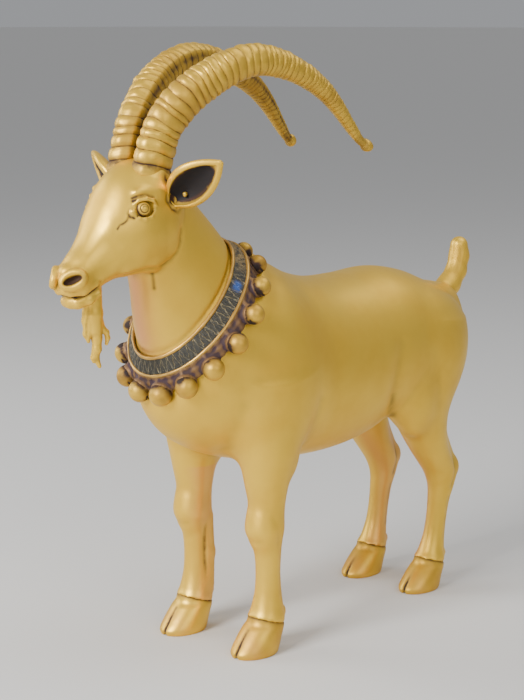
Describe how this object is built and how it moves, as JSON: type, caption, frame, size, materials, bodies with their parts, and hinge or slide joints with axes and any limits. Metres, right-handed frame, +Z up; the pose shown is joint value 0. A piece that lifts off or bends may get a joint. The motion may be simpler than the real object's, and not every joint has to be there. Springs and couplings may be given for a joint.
{
  "type": "goat statuette",
  "caption": "Cast gilded statuette of a standing long-horned goat with a beard, swept-back ridged horns, an upright tail and an engraved collar hung with round bells.",
  "frame": {"origin": "On the ground under the middle of the whole goat: the centre of the bottom of its box.", "axes": "+Z up; the goat faces -Y; +X is its left side."},
  "size_m": [0.0856, 0.288, 0.2876],
  "materials": {
    "gilded_body": "satin pale gold with brown antique patina in the recesses",
    "gilded_horn": "satin gold over cast ridges, brown to purple patina between them",
    "gilded_hoof": "satin gold, brown patina in the coronet groove and the cleft",
    "collar_wire": "bright worn gold wire",
    "collar_band": "engraved scroll pattern in blackened blue-green enamel, rubbed bright on its ridges",
    "bell_strip": "dark purple-brown patina",
    "bell": "worn gold with brown patina near the strip"
  },
  "bodies": {
    "root": {"torso": "gilded_body", "neck_and_head": "gilded_body", "horn_left": "gilded_horn", "horn_right": "gilded_horn", "ear_left": "gilded_body", "ear_right": "gilded_body", "beard": "gilded_body", "tail": "gilded_body", "foreleg_left": "gilded_body", "foreleg_right": "gilded_body", "hindleg_left": "gilded_body", "hindleg_right": "gilded_body", "hoof_fore_left": "gilded_hoof", "hoof_fore_right": "gilded_hoof", "hoof_hind_left": "gilded_hoof", "hoof_hind_right": "gilded_hoof", "eye_left": "gilded_body", "eye_right": "gilded_body", "collar_upper_rim": "collar_wire", "collar_lower_rim": "collar_wire", "collar_band": "collar_band", "bell_strip": "bell_strip", "bell_01": "bell", "bell_02": "bell", "bell_03": "bell", "bell_04": "bell", "bell_05": "bell", "bell_06": "bell", "bell_07": "bell", "bell_08": "bell", "bell_09": "bell", "bell_10": "bell", "bell_11": "bell", "bell_12": "bell", "bell_13": "bell", "bell_14": "bell", "bell_15": "bell", "bell_16": "bell"}
  },
  "joints": []
}
